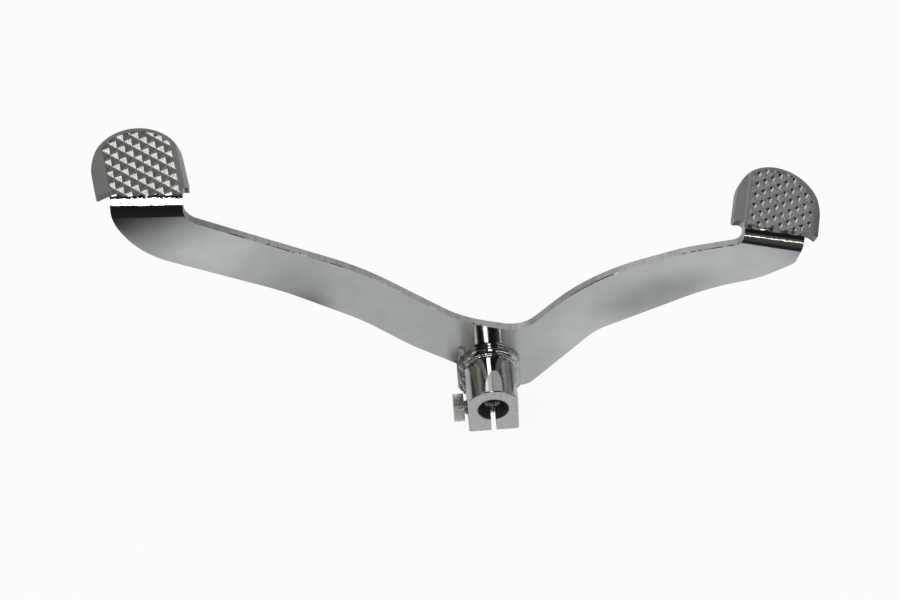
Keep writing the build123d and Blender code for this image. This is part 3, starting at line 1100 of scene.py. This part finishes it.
# pale for the camera; the metal mirrors a dark room in front and grey walls behind
roomLook = {
    # what metal mirrors in front, from left to right, below the height where it goes dark
    "front": [(0.0, (0.25, 0.23, 0.19)), (0.27, (0.22, 0.20, 0.165)),
              (0.36, (0.015, 0.015, 0.015)), (0.62, (0.015, 0.015, 0.015)),
              (0.72, (0.11, 0.10, 0.085)), (0.82, (0.13, 0.12, 0.105)),
              (0.88, (0.30, 0.30, 0.28)), (1.0, (0.26, 0.26, 0.25))],
    "frontTop": (0.45, 0.65),
    "dark": 0.015,
    # and behind, from the floor to the ceiling
    "back": [(0.0, 0.05), (0.62, 0.06), (0.72, 0.15), (0.80, 0.22), (1.0, 0.22)],
    "backFrom": (-0.25, 0.15),
    "tint": (0.96, 1.0, 0.95),
    # a pale wall low on the right: from where, how bright, and how high it reaches
    "rightWall": {"from": (0.66, 0.74), "to": (0.82, 0.92), "level": 0.50, "high": (0.20, 0.30)},
    "lighting": 0.55,
}


# the colour of the room in each direction, as the metal mirrors it
def addRoom(tree, settings):
    place = tree.nodes.new("ShaderNodeTexCoord")
    across, away, up = addAxes(tree, place.outputs["Generated"])
    side, height = [addSum(tree, addProduct(tree, part, 0.5), 0.5) for part in (across, up)]
    low = addFall(tree, up, *settings["frontTop"])
    front = addColourMix(tree, low, (settings["dark"],) * 3, addRamp(tree, side, settings["front"]))
    walls = addRamp(tree, height, settings["back"])
    back = addColourMix(tree, 1.0, walls, settings["tint"], "MULTIPLY")
    toBack = addStep(tree, away, *settings["backFrom"])
    wall = settings["rightWall"]
    onWall = addProduct(tree, addStep(tree, across, *wall["from"]),
                        addFall(tree, across, *wall["to"]), addFall(tree, up, *wall["high"]))
    room = addColourMix(tree, toBack, front, back)
    return addColourMix(tree, onWall, room, (wall["level"],) * 3)


def makeRoom(settings):
    world = bpy.data.worlds.new("room")
    bpy.context.scene.world = world
    world.use_nodes = True
    tree = world.node_tree
    tree.nodes.clear()
    output = tree.nodes.new("ShaderNodeOutputWorld")
    rays = tree.nodes.new("ShaderNodeLightPath")
    mirrored = tree.nodes.new("ShaderNodeBackground")
    tree.links.new(addRoom(tree, settings), mirrored.inputs["Color"])
    plain = tree.nodes.new("ShaderNodeBackground")
    plain.inputs["Color"].default_value = (1, 1, 1, 1)
    level = tree.nodes.new("ShaderNodeMapRange")
    level.inputs["To Min"].default_value = settings["lighting"]
    tree.links.new(rays.outputs["Is Camera Ray"], level.inputs["Value"])
    tree.links.new(level.outputs[0], plain.inputs["Strength"])
    final = addShaderMix(tree, addBounced(tree, rays), plain.outputs[0], mirrored.outputs[0])
    tree.links.new(final, output.inputs["Surface"])


makeRoom(roomLook)


# "level" is how bright a lamp's own surface looks in the metal
lamps = [
    {"name": "window", "place": (-0.05, -0.90, 1.31), "size": (0.30, 0.95), "level": 3.2,
     "colour": (1.0, 0.98, 1.0)},
    {"name": "sideWindow", "place": (0.85, -1.19, 0.59), "size": (0.50, 0.12), "level": 2.4,
     "colour": (1.0, 0.99, 0.96)},
    {"name": "ceiling", "place": (-0.871, -0.428, 1.258), "size": (0.36, 0.36), "level": 2.2,
     "colour": (1.0, 0.96, 0.88)},
    {"name": "leftLamp", "place": (-0.83, -1.00, 0.75), "size": (0.14, 0.30), "level": 0.9,
     "colour": (1.0, 0.95, 0.84)},
    {"name": "backWall", "place": (-0.42, 1.10, 1.03), "size": (1.0, 0.72), "level": 0.42,
     "colour": (0.97, 1.0, 0.98)},
    {"name": "rightBack", "place": (0.58, 1.10, 1.03), "size": (1.0, 0.72), "level": 0.24,
     "colour": (0.97, 1.0, 0.98)},
    {"name": "backStrip", "place": (-0.40, 1.02, 1.02), "size": (0.16, 0.70), "level": 0.40,
     "colour": (0.97, 1.0, 1.0)},
]
lampAim = (0, 0, 0.05)


def makeLamp(settings):
    data = bpy.data.lights.new(settings["name"], "AREA")
    data.shape = "RECTANGLE"
    data.size, data.size_y = settings["size"]
    # a lamp's surface is as bright as a quarter of its energy, shared out over its area
    data.energy = settings["level"] * 4 * data.size * data.size_y
    data.color = settings["colour"]
    lamp = bpy.data.objects.new(settings["name"], data)
    bpy.context.scene.collection.objects.link(lamp)
    lamp.location = settings["place"]
    direction = Vector(lampAim) - Vector(settings["place"])
    lamp.rotation_euler = direction.to_track_quat("-Z", "Y").to_euler()


for lamp in lamps:
    makeLamp(lamp)
bpy.context.scene.view_settings.view_transform = "Standard"
print("camera, floor and lamps done")
